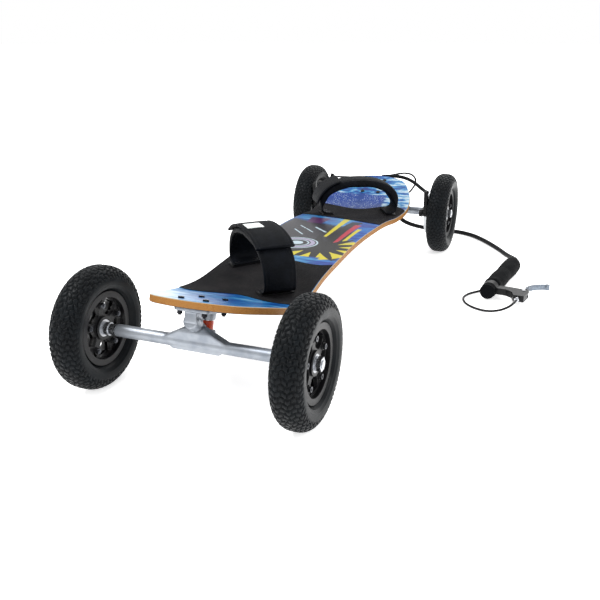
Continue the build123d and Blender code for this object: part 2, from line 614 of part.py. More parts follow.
body = Polygon((CLAMP_START, 9), (CLAMP_START + CLAMP_LENGTH, 9), (35, 40), (36, 78), (24, 82),
               (-10, 79), (-12, 58), (6, 50), (CLAMP_START, 36), align=None)
body = extrude(body, BODY_THICKNESS / 2, both=True)
slot_gap = LEVER_THICKNESS + 2 * 0.35
body -= Pos(36, 74, 0) * Box(44.0, 36.0, slot_gap)
body = flat * body
body += bar * Pos(0, 0, CLAMP_START) * rod(CLAMP_R, CLAMP_LENGTH)
body -= bar * rod(TUBE_R, 60.0)
adjuster_b = 67.0
adjuster_line = Plane(origin=handle_point(0, adjuster_b, GRIP_R), z_dir=-axis_dir)
body -= adjuster_line * Pos(0, 0, 2.0) * rod(3.0, 30.0)
pivot_line = Plane(origin=handle_point(*LEVER_PIVOT, GRIP_R), z_dir=(0, 0, 1))
body -= pivot_line * Pos(0, 0, -20) * rod(LEVER_PIN_R, 40)
save("lever_clamp", body)
pin = Pos(0, 0, -BODY_THICKNESS / 2 - 1.5) * rod(LEVER_PIN_R, BODY_THICKNESS + 3.0)
pin += Pos(0, 0, BODY_THICKNESS / 2) * rod(4.2, 1.5)
pin += Pos(0, 0, -BODY_THICKNESS / 2 - 1.5) * rod(4.2, 1.5)
save("lever_pivot", pivot_line * pin)

blade_line = Spline((44, 72), (62, 73), (79, 84), (92, 106))
blade = trace(blade_line, BLADE_THICKNESS)
blade += Pos(92, 106) * Circle(5.0)
blade = extrude(blade, BLADE_WIDTH / 2, both=True)
root = Pos(*LEVER_PIVOT) * Circle(8.0)
root += Polygon((LEVER_PIVOT[0], 62.5), (54, 69), (54, 77), (LEVER_PIVOT[0], 77.5), align=None)
blade += extrude(root, LEVER_THICKNESS / 2, both=True)
blade -= Pos(*LEVER_PIVOT) * Cylinder(LEVER_PIN_R + RUNNING, 60.0)
blade -= Pos(32, 74, 0) * (Box(20, 40, 40) - Box(20, 40, LEVER_THICKNESS))
save("brake_lever", flat * blade)

adjuster = Pos(0, 0, 2.0) * rod(3.0, 10.0)
adjuster += Pos(0, 0, 12.0) * rod(5.0, 8.0)
adjuster += Pos(0, 0, 20.0) * rod(3.6, 6.0)
adjuster_end = 26.0
save("barrel_adjuster", adjuster_line * adjuster)


# ---- cords ----
def cord(name, points, diameter):
    """A round cord along straight runs joined by arcs as large as the runs allow."""
    spots = [Vector(*p) for p in points]
    radii = []
    for before, here, after in zip(spots, spots[1:], spots[2:]):
        turn = (here - before).get_angle(after - here)
        run = min((here - before).length, (after - here).length)
        radii.append(0.45 * run / math.tan(math.radians(turn) / 2))
    path = FilletPolyline(*spots, radius=radii)
    section = Plane(origin=path @ 0, z_dir=path % 0) * Circle(diameter / 2)
    solid = sweep(section, path=path)
    ideal = math.pi * diameter ** 2 / 4 * path.length
    runs = [round((b - a).length) for a, b in zip(spots, spots[1:])]
    print(name, "length", round(path.length, 1), "volume ratio",
          round(solid.volume / ideal, 4))
    print("  radii", [round(r) for r in radii], "runs", runs)
    save(name, solid)


def grounded(points):
    """Points whose height is given above the ground."""
    return [(x, y, GROUND + height) for x, y, height in points]


leash_exit = (38.0, 500.0, 153.0)
leash_end = handle_point(GRIP_END, 0.0, GRIP_R)
leash_points = grounded([leash_exit, (38, 516.5, 149.5), (38, 531, 139.5), (39, 541, 122),
                         (41, 546, 100), (44, 551, 76), (52, 562, 53), (74, 587, 35.5), (103, 621, 21),
                         (143, 655, 9), (190, 668, 6.5), (234, 648, 6.2), (266, 615, 6.0),
                         (296, 574, 6.0), (326, 527, 6.0), (350, 480, 7), (369, 438, 13)])
leash_points += [handle_point(GRIP_END + 34.0, 0.0, GRIP_R), leash_end]
cord("leash", leash_points, LEASH_D)

clip_dir = (Vector(leash_points[1]) - Vector(leash_points[0])).normalized()
clip_plane = Plane(origin=grounded([leash_exit])[0], z_dir=clip_dir)
clip = clip_plane * Pos(0, 0, -14.0) * tube(LEASH_D / 2 + 2.0, LEASH_D / 2 - 1.0, 14.0)
clip += clip_plane * Pos(0, 0, -14.0) * tube(LEASH_D / 2 + 2.0, LEASH_D / 2 - 3.0, 4.0)
tab = truck_plane * Pos(leash_exit[0], 24.0, -6.0) * Box(12.0, 13.0, 12.0)
clip += tab - clip_plane * Pos(0, 0, -40.0) * rod(LEASH_D / 2, 80.0)
clip -= deck_slab(0.0, DECK_THICKNESS, 140.0)
save("leash_clip", clip)

loop_start = handle_point(-adjuster_end, adjuster_b, GRIP_R)
loop_points = [loop_start, handle_point(-41, adjuster_b, GRIP_R), handle_point(-55, 61, 15),
               handle_point(-67, 45, 8), handle_point(-72, 20, 3.5),
               handle_point(-63, -10, 3), handle_point(-45, -33, 3), handle_point(-18, -47, 3),
               handle_point(10, -46, 3), handle_point(31, -37, 3)]
loop_points += [cable_from, cable_in]
cord("cable_loop", loop_points, CABLE_D)

cross_points = [(-ARM_FACE, 556, 18), (-124, 556, 18), (-103, 558.5, 18.6), (-79, 562.5, 17.5),
                (-52, 566, 17), (-23, 568, 20), (7, 567.5, 27), (35, 566, 35), (60, 563, 40),
                (80, 560, 36.5), (91, 554, 23), (87, 547, 6), (76, 541, -8)]
cord("cross_cable", cross_points, CABLE_D)
sleeve_x = ARM_FACE + ARM_THICKNESS / 2
sleeve_points = [(sleeve_x, 426, 19), (146.2, 442, 17), (141, 457.5, 14.5), (132, 471, 14),
                 (121, 484, 17), (107.5, 495.5, 23), (91, 506, 30), (72, 515, 35),
                 (50, 521.5, 37), (27, 525.5, 36), (4, 527, 33)]
cord("brake_sleeve", sleeve_points, SLEEVE_D)
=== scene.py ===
import math

import bmesh
import bpy
import numpy as np
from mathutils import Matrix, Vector


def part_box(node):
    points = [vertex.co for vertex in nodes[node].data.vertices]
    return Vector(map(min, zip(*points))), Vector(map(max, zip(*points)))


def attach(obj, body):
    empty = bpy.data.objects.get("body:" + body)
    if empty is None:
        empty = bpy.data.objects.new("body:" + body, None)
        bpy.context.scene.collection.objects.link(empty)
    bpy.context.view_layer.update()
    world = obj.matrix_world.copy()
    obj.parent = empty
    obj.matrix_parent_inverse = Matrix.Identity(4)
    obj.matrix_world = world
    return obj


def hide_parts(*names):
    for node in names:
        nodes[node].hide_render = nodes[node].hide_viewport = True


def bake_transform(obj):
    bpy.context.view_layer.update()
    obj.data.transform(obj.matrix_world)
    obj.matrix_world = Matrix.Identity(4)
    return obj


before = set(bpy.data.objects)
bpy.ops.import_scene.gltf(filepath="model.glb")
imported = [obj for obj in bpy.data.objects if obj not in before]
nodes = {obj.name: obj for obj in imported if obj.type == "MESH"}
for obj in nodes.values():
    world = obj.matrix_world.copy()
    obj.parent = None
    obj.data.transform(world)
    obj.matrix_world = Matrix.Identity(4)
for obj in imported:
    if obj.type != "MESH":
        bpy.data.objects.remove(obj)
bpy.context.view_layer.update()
MM = 0.001

# ---- the studio ----
# Three soft lights round a seamless white floor, which glows a little and so hides its edge.
# The camera stands low at the nose on the rider's left, about a metre and a half away.


class Signal:
    """A value or colour inside one material. Python operators on it add its Math nodes."""

    def __init__(self, tree, socket=None):
        self.tree = tree
        self.socket = socket

    def make(self, kind, settings=None, inputs=None, output=0):
        """Adds a node of a type: its settings first, then values or links for its sockets."""
        node = self.tree.nodes.new("ShaderNode" + kind)
        for name, value in (settings or {}).items():
            if name == "stops":
                elements = node.color_ramp.elements
                elements.remove(elements[1])
                elements[0].position, elements[0].color = value[0]
                for place, colour in value[1:]:
                    elements.new(place).color = colour
            else:
                setattr(node, name, value)
        for name, value in (inputs or {}).items():
            if isinstance(value, Signal):
                self.tree.links.new(value.socket, node.inputs[name])
            else:
                node.inputs[name].default_value = value
        return Signal(self.tree, node.outputs[output] if node.outputs else None)

    def math(self, operation, *others, clamp=False):
        settings = {"operation": operation, "use_clamp": clamp}
        return self.make("Math", settings, dict(enumerate((self,) + others)))

    def __add__(self, other):
        return self.math("ADD", other)

    __radd__ = __add__

    def __mul__(self, other):
        return self.math("MULTIPLY", other)

    __rmul__ = __mul__

    def __sub__(self, other):
        return self.math("SUBTRACT", other)

    def __rsub__(self, other):
        return self.make("Math", {"operation": "SUBTRACT"}, {0: other, 1: self})

    def __truediv__(self, other):
        return self.math("DIVIDE", other)

    def __abs__(self):
        return self.math("ABSOLUTE")

    def noise(self, scale, detail=2.0, stretch=(1.0, 1.0, 1.0), seed=0.0):
        """Smooth noise on this vector, about 0.5, with so many grains to the metre."""
        settings = {"vector_type": "POINT"}
        turned = self.make("Mapping", settings, {"Vector": self, "Scale": stretch,
                                                 "Location": (seed, seed, seed)})
        return self.make("TexNoise", {}, {"Vector": turned, "Scale": scale, "Detail": detail})


def ink(red, green, blue):
    """A display colour, 0 to 255, as linear light."""
    share = np.array([red, green, blue]) / 255
    linear = np.where(share <= 0.04045, share / 12.92, ((share + 0.055) / 1.055) ** 2.4)
    return (*linear.tolist(), 1.0)


def new_paint(name):
    """A new empty material, and the signal that starts its nodes."""
    material = bpy.data.materials.new(name)
    material.use_nodes = True
    material.node_tree.nodes.clear()
    return material, Signal(material.node_tree)


def rise(value, start, end):
    """Climbs smoothly from 0 to 1 as value goes from start to end."""
    return value.make("MapRange", {"interpolation_type": "SMOOTHSTEP"},
                      {"Value": value, "From Min": start, "From Max": end})


def blend(share, first, second):
    """The first colour where share is 0, the second where it is 1."""
    return share.make("Mix", {"data_type": "RGBA"}, {0: share, 6: first, 7: second}, 2)


def place_of(paint):
    """Where a point is, in metres."""
    return paint.make("TexCoord", {}, {}, "Object")


def relief(height, depth, normal=None):
    """Bump of that many metres for a height from 0 to 1."""
    inputs = {"Height": height, "Distance": depth, "Strength": 1.0}
    if normal:
        inputs["Normal"] = normal
    return height.make("Bump", {}, inputs)


def worn_edge(paint, radius):
    """The normal of a corner rounded by that radius."""
    return paint.make("Bevel", {"samples": 4}, {"Radius": radius})


def coat(paint, material, *pieces, **sockets):
    """Ends a material in a Principled shader and puts it on the pieces."""
    inputs = {name.replace("_", " "): value for name, value in sockets.items()}
    shader = paint.make("BsdfPrincipled", {}, inputs)
    paint.make("OutputMaterial", {}, {"Surface": shader})
    for piece in pieces:
        piece.data.materials.clear()
        piece.data.materials.append(material)
    return material


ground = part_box("rear_left_tyre")[0].z
bpy.ops.mesh.primitive_circle_add(vertices=96, radius=30.0, fill_type="NGON",
                                  location=(0, 0, ground))
floor = bpy.context.object
floor.name = "floor"
floor_paint, paint = new_paint("white_sweep")
far = place_of(paint).make("VectorMath", {"operation": "LENGTH"}, {0: place_of(paint)}, 1)
coat(paint, floor_paint, floor, Base_Color=(0.95, 0.95, 0.95, 1), Roughness=0.9,
     Specular_IOR_Level=0.0, Emission_Color=(1, 1, 1, 1),
     Emission_Strength=0.62 + rise(far, 0.8, 2.2) * 0.5)

scene = bpy.context.scene
scene.view_settings.view_transform = "Standard"
scene.world = bpy.data.worlds.new("studio")
scene.world.use_nodes = True
scene.world.node_tree.nodes["Background"].inputs["Color"].default_value = (1, 1, 1, 1)
scene.world.node_tree.nodes["Background"].inputs["Strength"].default_value = 1.0

for name, spot, size, power in (("key_light", (-1.3, -1.0, 2.4), 1.0, 58.0),
                                ("fill_light", (2.4, -0.6, 1.5), 1.0, 20.0),
                                ("back_light", (0.3, 2.4, 1.8), 1.6, 26.0)):
    light = bpy.data.lights.new(name, "AREA")
    light.energy = power
    light.size = size
    lamp = bpy.data.objects.new(name, light)
    scene.collection.objects.link(lamp)
    lamp.location = spot
    lamp.rotation_euler = Vector((-spot[0], -spot[1], -spot[2])).to_track_quat("-Z", "Y").to_euler()

camera = bpy.data.objects.new("camera", bpy.data.cameras.new("camera"))
scene.collection.objects.link(camera)
camera.data.sensor_width = 36.0
camera.data.lens = 43.8
camera.location = (0.5159, -1.3686, 0.4016)
look = Vector((-0.0242, -0.0021, -0.1423)) - camera.location
camera.rotation_euler = look.to_track_quat("-Z", "Y").to_euler()
scene.camera = camera

# ---- the deck ----
# Twelve-millimetre bent maple plies: a level middle, falling shoulders and raised tips.
# The sides show bare ply lines, and the top carries a printed wash of stripes and rings.
DECK_THICKNESS = 0.012
EDGE_ROUND = 0.0025
RIM_POINTS = 420
SPINE_REACH = 0.452
DECK_BENDS = (0.0, 0.040, 0.262, 0.395, 0.560)
DECK_SLOPES = (0.0, 0.0, -7.2, 17.8, 17.8)
DECK_QUARTER = ((0.0997, 0.0), (0.1024, 0.120), (0.10365, 0.220), (0.1091, 0.300),
                (0.1149, 0.361), (0.1073, 0.421), (0.0929, 0.461), (0.0827, 0.484),
                (0.0692, 0.502), (0.035, 0.5188), (0.0, 0.524))


def through(where, knots, values):
    """A cubic through the values, whose slope at each knot is that of its neighbours' chord."""
    knots, values = np.asarray(knots, float), np.asarray(values, float)
    slopes = np.gradient(values, knots)
    i = np.clip(np.searchsorted(knots, where) - 1, 0, len(knots) - 2)
    gap = knots[i + 1] - knots[i]
    u = (where - knots[i]) / gap
    return ((1 + 2 * u) * (1 - u) ** 2 * values[i] + u * (1 - u) ** 2 * gap * slopes[i]
            + u * u * (3 - 2 * u) * values[i + 1] + u * u * (u - 1) * gap * slopes[i + 1])


def curve_through(points, count):
    """So many evenly spaced points on the smooth curve through the given ones."""
    points = np.asarray(points, float)
    reach = np.concatenate([[0], np.cumsum(np.linalg.norm(np.diff(points, axis=0), axis=1))])
    where = np.linspace(0, reach[-1], count)
    return np.stack([through(where, reach, axis) for axis in points.T], -1)


def grid_faces(rows, columns, wrap_rows=False, wrap_columns=False):
    """The quads between neighbouring points of a grid of points."""
    row = np.arange(rows if wrap_rows else rows - 1)
    column = np.arange(columns if wrap_columns else columns - 1)
    a, b = np.meshgrid(row, column, indexing="ij")
    c, d = (a + 1) % rows, (b + 1) % columns
    quads = [a * columns + b, c * columns + b, c * columns + d, a * columns + d]
    return np.stack(quads, -1).reshape(-1, 4)


def new_piece(name, points, faces, merge=0.0, body=None):
    """A smooth-shaded mesh piece; points nearer than merge become one, and faces turn out."""
    mesh = bpy.data.meshes.new(name)
    mesh.from_pydata(np.reshape(points, (-1, 3)).tolist(), [], [list(face) for face in faces])
    built = bmesh.new()
    built.from_mesh(mesh)
    if merge:
        bmesh.ops.remove_doubles(built, verts=built.verts, dist=merge)
    bmesh.ops.recalc_face_normals(built, faces=built.faces)
    for face in built.faces:
        face.smooth = True
    built.to_mesh(mesh)
    built.free()
    piece = bpy.data.objects.new(name, mesh)
    scene.collection.objects.link(piece)
    if body:
        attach(piece, body)
    return piece


stations = np.linspace(0, DECK_BENDS[-1], 5601)
station_slope = np.radians(np.interp(stations, DECK_BENDS, DECK_SLOPES))
station_step = stations[1]
station_y = np.concatenate([[0], np.cumsum(np.cos(station_slope[1:] / 2 + station_slope[:-1] / 2))])
station_z = np.concatenate([[0], np.cumsum(np.sin(station_slope[1:] / 2 + station_slope[:-1] / 2))])
station_y, station_z = station_y * station_step, station_z * station_step


def on_deck(x, s, depth):
    """The point x across and s along the bent deck, at a depth below its top face."""
    turn = np.interp(np.abs(s), stations, station_slope)
    y = np.interp(np.abs(s), stations, station_y) + depth * np.sin(turn)
    z = np.interp(np.abs(s), stations, station_z) - depth * np.cos(turn)
    return np.stack([x + 0 * s, np.sign(s) * y, z], -1)


quarter = np.array(DECK_QUARTER)
side = np.concatenate([quarter, quarter[-2::-1] * (-1, 1)])
outline = np.concatenate([side, (side * (-1, -1))[1:-1]])
rounds = np.concatenate([outline] * 3 + [outline[:1]])
reach = np.concatenate([[0], np.cumsum(np.linalg.norm(np.diff(rounds, axis=0), axis=1))])
lap = reach[-1] / 3
where = lap + lap * np.arange(RIM_POINTS) / RIM_POINTS
rim_x, rim_s = through(where, reach, rounds[:, 0]), through(where, reach, rounds[:, 1])
heading = np.stack([np.gradient(rim_x), np.gradient(rim_s)], -1)
heading /= np.linalg.norm(heading, axis=1)[:, None]
spine_s = np.clip(rim_s, -SPINE_REACH, SPINE_REACH)
quarter_turn = np.linspace(0, math.pi / 2, 7)
inset = np.concatenate([EDGE_ROUND * (1 - np.sin(quarter_turn)),
                        EDGE_ROUND * (1 - np.cos(quarter_turn))])
edge_depth = np.concatenate([EDGE_ROUND * (1 - np.cos(quarter_turn)),
                             DECK_THICKNESS - EDGE_ROUND * (1 - np.sin(quarter_turn))])
shares = 1 - np.linspace(1, 0, 13)[:-1] ** 1.5
rows = []
for share in shares:
    rows.append((share, EDGE_ROUND, 0.0))
rows += [(1.0, i, d) for i, d in zip(inset, edge_depth)]
for share in shares[::-1]:
    rows.append((share, EDGE_ROUND, DECK_THICKNESS))
deck_points, deck_plan, deck_depth = [], [], []
for share, inward, depth in rows:
    x = rim_x - heading[:, 1] * inward
    s = rim_s + heading[:, 0] * inward
    x, s = share * x, spine_s + share * (s - spine_s)
    deck_points.append(on_deck(x, s, depth))
    deck_plan.append(np.stack([x, s], -1))
    deck_depth.append(np.full(len(x), depth))
deck_board = new_piece("deck_board", deck_points,
                       grid_faces(len(rows), len(rim_x), wrap_columns=True))
plan = deck_board.data.uv_layers.new(name="plan")
corners = np.zeros(len(deck_board.data.loops), int)
deck_board.data.loops.foreach_get("vertex_index", corners)
plan.data.foreach_set("uv", np.concatenate(deck_plan)[corners].ravel())
ply = deck_board.data.attributes.new("ply_depth", "FLOAT", "POINT")
ply.data.foreach_set("value", np.concatenate(deck_depth))
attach(deck_board, "deck")
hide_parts("deck")

deck_paint, paint = new_paint("printed_maple")
print_uv = paint.make("UVMap", {"uv_map": "plan"})
axes = [paint.make("SeparateXYZ", {}, {0: print_uv}, i) * 1000.0 for i in (0, 1)]
depth_mm = paint.make("Attribute", {"attribute_name": "ply_depth"}, {}, "Fac") * 1000.0
ragged = print_uv.noise(95.0, 3.0, seed=2.0) - 0.5
ragged_too = print_uv.noise(80.0, 3.0, seed=7.0) - 0.5
x = axes[0] + ragged * 9.0
s = axes[1] + ragged_too * 9.0
fine_x = axes[0] + ragged * 3.0
fine_s = axes[1] + ragged_too * 3.0

WHITE, SKY = ink(214, 234, 242), ink(60, 160, 218)
MID_BLUE, DEEP_BLUE = ink(8, 84, 168), ink(4, 30, 104)
CHARCOAL, BLACK_INK = ink(30, 28, 36), ink(7, 7, 11)
YELLOW, RED, PLUM = ink(238, 218, 40), ink(206, 44, 66), ink(92, 44, 96)
wash_stops = [(0.0, DEEP_BLUE), (0.40, MID_BLUE), (0.58, SKY), (0.74, WHITE)]
streaks = print_uv.noise(60.0, 4.0, (0.30, 1.5, 1.0), seed=1.0)
cloud = print_uv.noise(14.0, 2.0, seed=4.0)
wash = streaks * 0.9 + cloud * 0.5 - 0.22
nose_white = rise(axes[0] * -1.0 + axes[1] * -0.6, 265.0, 400.0) * 0.42
wash_colour = paint.make("ValToRGB", {"stops": wash_stops}, {0: wash + nose_white - 0.02})

mottle = print_uv.noise(62.0, 5.0, (0.55, 1.5, 1.0), seed=9.0)
bands = (axes[1] * 0.24 + ragged * 5.0).math("SINE") * 0.10
tail_value = mottle * 1.7 + bands - 0.42 + rise(axes[0], 0.0, 60.0) * 0.16
tail_colour = paint.make("ValToRGB", {"stops": wash_stops}, {0: tail_value})
speckle = print_uv.noise(330.0, 2.0, seed=3.0)
speckled = blend(rise(speckle, 0.60, 0.64), ink(2, 66, 160), WHITE)
speckled = blend(rise(print_uv.noise(26.0, seed=5.0), 0.40, 0.48), ink(6, 66, 150), speckled)
under_strap = rise(axes[0], 52.0, 44.0) * rise(axes[1], 424.0, 414.0)
tail_colour = blend(under_strap, tail_colour, speckled)
picture = blend(rise(axes[1], 330.0, 331.0), wash_colour, tail_colour)

middle = rise(x * 1.0 + s * 0.16, 84.0, 72.0) * rise(x, -101.0, -93.0)
middle = middle * rise(s + x * 0.35, 128.0, 104.0) * rise(s + x * 0.10, -132.0, -118.0)
smoke = blend(rise(print_uv.noise(220.0, 4.0, seed=6.0), 0.45, 0.72), CHARCOAL, ink(64, 62, 74))
blue_side = blend(rise(streaks, 0.42, 0.62), ink(10, 62, 160), ink(40, 132, 214))
picture = blend(rise(abs(s), 200.0, 190.0) * rise(x, 30.0, 45.0), picture, blue_side)
picture = blend(middle, picture, smoke)


def stripe(start, end, lean, bow, width, taper):
    """A bent stripe along the board: the share of it at x = lean + bow (s/100)^2."""
    along = (s - start) * (1.0 / (end - start))
    line = lean + (s * 0.01) * (s * 0.01) * bow
    half = width * (1.0 - taper) * 0.5 + along * (width * taper * 0.5)
    body = rise(half - abs(fine_x - line), -0.8, 0.8)
    return body * rise(s, start - 3.0, start + 3.0) * rise(s, end + 3.0, end - 3.0)


for colour, shape in ((BLACK_INK, (-10.0, 165.0, 42.0, 3.0, 26.0, 0.3)),
                      (PLUM, (118.0, 182.0, -36.0, -2.0, 46.0, 0.2)),
                      (YELLOW, (12.0, 190.0, 26.0, -2.6, 15.0, 0.55)),
                      (RED, (-34.0, 134.0, 60.0, 0.4, 15.0, 0.5)),
                      (YELLOW, (-46.0, 96.0, 74.0, 1.4, 9.0, 0.3)),
                      (BLACK_INK, (-46.0, 60.0, 67.5, 0.6, 3.0, 0.0))):
    picture = blend(stripe(*shape), picture, colour)

star_x, star_s = fine_x - 42.0, fine_s + 64.0
star_r = (star_x * star_x + star_s * star_s).math("SQRT")
star_turn = star_x.make("Math", {"operation": "ARCTAN2"}, {0: star_s, 1: star_x})
spike = abs((star_turn * (13.0 / (2 * math.pi))).math("FRACT") - 0.5) * 2.0
fan = rise(star_x * 0.7 - star_s * 0.7, -12.0, 4.0)
picture = blend(rise(star_r, 80.0, 76.0) * fan, picture, YELLOW)
black_reach = 38.0 + spike.math("POWER", 1.3) * 52.0
spikes = rise(star_r - black_reach, 1.5, -1.5) * rise(star_r, 92.0, 88.0)
picture = blend(spikes, picture, BLACK_INK)

ring_x, ring_s = fine_x + 12.0, fine_s + 50.0
ring_r = (ring_x * ring_x + ring_s * ring_s * 1.3).math("SQRT")
picture = blend(rise(ring_r, 47.0, 45.0), picture, CHARCOAL)
for radius, half, colour in ((42.0, 1.7, WHITE), (33.0, 4.4, ink(190, 180, 206)),
                             (24.0, 1.5, WHITE), (0.0, 13.0, WHITE)):
    picture = blend(rise(half - abs(ring_r - radius), -0.7, 0.7), picture, colour)
patch = rise(20.0 - abs(s + 152.0 - x * 0.1), -1.5, 1.5)
patch = patch * rise(x, 68.0, 62.0) * rise(x, -64.0, -58.0)
picture = blend(patch, picture, wash_colour)

for middle_x, middle_s, angle, long, wide in ((-40.0, 30.0, -48.0, 24.0, 1.6),
                                              (-22.0, 48.0, -46.0, 17.0, 1.5),
                                              (-2.0, 62.0, -44.0, 25.0, 2.4),
                                              (-46.0, 72.0, -47.0, 14.0, 1.4)):
    cos, sin = math.cos(math.radians(angle)), math.sin(math.radians(angle))
    run = (fine_x - middle_x) * cos + (fine_s - middle_s) * sin
    off = (fine_s - middle_s) * cos - (fine_x - middle_x) * sin
    scratch = rise(wide - abs(off), -0.6, 0.6) * rise(long - abs(run), -1.0, 1.0)
    picture = blend(scratch, picture, WHITE)

grain = place_of(paint).noise(260.0, 4.0, (6.0, 0.35, 6.0))
wood = blend(rise(grain, 0.3, 0.7), ink(168, 104, 44), ink(222, 160, 84))
line_wave = abs((depth_mm * (1 / 1.55) + 0.5).math("FRACT") - 0.5)
wood = blend(rise(line_wave, 0.42, 0.47) * 0.55, wood, ink(120, 62, 24))
wood = blend(rise(depth_mm, 1.5, 1.1), wood, ink(226, 196, 150))
underside = blend(rise(grain, 0.35, 0.7), ink(20, 22, 30), ink(34, 36, 46))
board_colour = blend(rise(depth_mm, 0.35, 0.75), picture, wood)
board_colour = blend(rise(depth_mm, 10.9, 11.4), board_colour, underside)
board_rough = 0.32 + rise(depth_mm, 0.4, 0.8) * 0.2 + (grain - 0.5) * 0.1
ply_relief = relief(line_wave * -0.6 + grain * 0.3, 0.00025)
board_colour = paint.make("Mix", {"data_type": "RGBA", "blend_type": "MULTIPLY"},
                          {0: 1.0, 6: board_colour, 7: (0.50, 0.52, 0.54, 1.0)}, 2)
coat(paint, deck_paint, deck_board, Base_Color=board_colour, Roughness=board_rough,
     Normal=ply_relief, Coat_Weight=0.05, Coat_Roughness=0.2, Specular_IOR_Level=0.15)

# ---- the grip sheets ----
# Two sheets of gritty black abrasive, cut with wavy ends and glued to the deck.
grit_paint, paint = new_paint("grip_grit")
spot = place_of(paint)
grains = spot.noise(2600.0, 1.0)
dust = spot.noise(28.0, 3.0)
grit_colour = blend(rise(grains, 0.55, 0.75), ink(14, 14, 17), ink(48, 46, 47))
grit_colour = blend(rise(dust, 0.4, 0.75) * 0.35, grit_colour, ink(44, 41, 41))
coat(paint, grit_paint, nodes["grip_tape"], Base_Color=grit_colour,
     Roughness=0.9 - rise(grains, 0.6, 0.7) * 0.4, Normal=relief(grains, 0.0006),
     Specular_IOR_Level=0.12)

# ---- fasteners ----
# Black oxide screws and bright zinc nuts, washers and axle ends, with a turned look.


def metal_finish(name, tone, rough, edge, scuff, pieces, metallic=1.0):
    """Metal with faint cloudy wear in its colour and roughness, and softened corners."""
    material, paint = new_paint(name)
    spot = place_of(paint)
    cloudy = spot.noise(140.0, 4.0, seed=1.0)
    fine = spot.noise(1500.0, 2.0, seed=3.0)
    low = tuple(c * (1 - scuff) for c in tone[:3]) + (1.0,)
    colour = blend(rise(cloudy, 0.3, 0.7), tone, low)
    normal = relief(fine, 0.00004, worn_edge(paint, edge))
    return coat(paint, material, *pieces, Base_Color=colour, Metallic=metallic, Normal=normal,
                Specular_IOR_Level=0.2,
                Roughness=rough + (cloudy - 0.5) * 0.25 + (fine - 0.5) * 0.1)


metal_finish("black_oxide", ink(44, 44, 48), 0.38, 0.0004, 0.4,
             [nodes[n] for n in ("truck_bolts", "binding_bolts", "kingpins")], 0.8)
metal_finish("bright_zinc", ink(196, 199, 204), 0.28, 0.0004, 0.25,
             [nodes[n] for n in ("kingpin_nuts", "bushing_washers", "front_axle",
                                 "rear_axle", "front_axle_hardware", "rear_axle_hardware")])
metal_finish("black_nut", ink(50, 50, 54), 0.35, 0.0004, 0.4, [nodes["truck_nuts"]], 0.8)

# ---- the trucks ----
# Hangers and baseplates are sand-cast alloy, tumbled to a satin grey, so every corner has
# a cast fillet. Each hanger turns on a tilted kingpin between two orange urethane bushings.


def softened(node, name, voxel, passes, body):
    """A copy of a CAD node with its corners rounded: remeshed evenly, then relaxed."""
    source = nodes[node]
    built = bmesh.new()
    built.from_mesh(source.data)
    bmesh.ops.remove_doubles(built, verts=built.verts, dist=0.00001)
    mesh = bpy.data.meshes.new(name + "_rough")
    built.to_mesh(mesh)
    built.free()
    rough = bpy.data.objects.new(name + "_rough", mesh)
    scene.collection.objects.link(rough)
    even = rough.modifiers.new("even", "REMESH")
    even.mode = "VOXEL"
    even.voxel_size = voxel
    even.use_smooth_shade = True
    relax = rough.modifiers.new("relax", "SMOOTH")
    relax.factor = 0.5
    relax.iterations = passes
    bpy.context.view_layer.update()
    view = bpy.context.evaluated_depsgraph_get()
    final = bpy.data.meshes.new_from_object(rough.evaluated_get(view))
    bpy.data.objects.remove(rough)
    piece = bpy.data.objects.new(name, final)
    scene.collection.objects.link(piece)
    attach(piece, body)
    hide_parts(node)
    return piece


castings = []
for end in ("front", "rear"):
    castings.append(softened(f"{end}_hanger", f"{end}_hanger_casting", 0.0014, 9, f"{end}_hanger"))
castings.append(softened("baseplates", "baseplate_castings", 0.0012, 6, "deck"))
alloy_paint, paint = new_paint("tumbled_alloy")
spot = place_of(paint)
cloudy = spot.noise(36.0, 4.0)
sand = spot.noise(1300.0, 3.0)
alloy = blend(rise(cloudy, 0.35, 0.7), ink(158, 163, 170), ink(132, 138, 147))
coat(paint, alloy_paint, *castings, nodes["handle_tube"], Base_Color=alloy, Metallic=0.75,
     Roughness=0.42 + (sand - 0.5) * 0.25, Normal=relief(sand, 0.00012))

# Each bushing is its own barrel-sided ring round the tilted kingpin, running from a fixed level to
# a level by the hanger's ring.
KINGPIN_TILT = math.radians(17.8)
RING_PLACE = (0.456952, -0.034394)
BUSHING_BORE = 0.0051
BUSHING_R = 0.0100
BUSHING_BULGE = 0.0005
BUSHING_LEVELS = (("upper", 0.0185, 0.004), ("lower", -0.012, -0.004))
BUSHING_SIDES = 48
bushing_turn = 2 * math.pi * np.arange(BUSHING_SIDES) / BUSHING_SIDES
bushings = []
for end, way in (("front", -1.0), ("rear", 1.0)):
    ring = np.array((0.0, way * RING_PLACE[0], RING_PLACE[1]))
    up = np.array((0.0, -way * math.sin(KINGPIN_TILT), math.cos(KINGPIN_TILT)))
    fore = np.cross(up, (1.0, 0.0, 0.0))
    for place, fixed, held in BUSHING_LEVELS:
        share = np.linspace(0, 1, 25)
        radius = BUSHING_R + BUSHING_BULGE * np.sin(share * math.pi) ** 0.3
        level = fixed + (held - fixed) * share
        bore = [BUSHING_BORE]
        radius = np.concatenate([bore, radius, bore, bore])[:, None, None]
        level = np.concatenate([level[:1], level, level[-1:], level[:1]])[:, None, None]
        turned = (np.cos(bushing_turn)[:, None] * (1.0, 0.0, 0.0)
                  + np.sin(bushing_turn)[:, None] * fore)[None]
        rings = ring + level * up + radius * turned
        bushing = new_piece(f"{end}_{place}_bushing", rings,
                            grid_faces(len(rings), BUSHING_SIDES, False, True), 0.00001)
        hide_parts(f"{end}_bushings")
        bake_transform(bushing)
        bushings.append(bushing)
urethane_paint, paint = new_paint("orange_urethane")
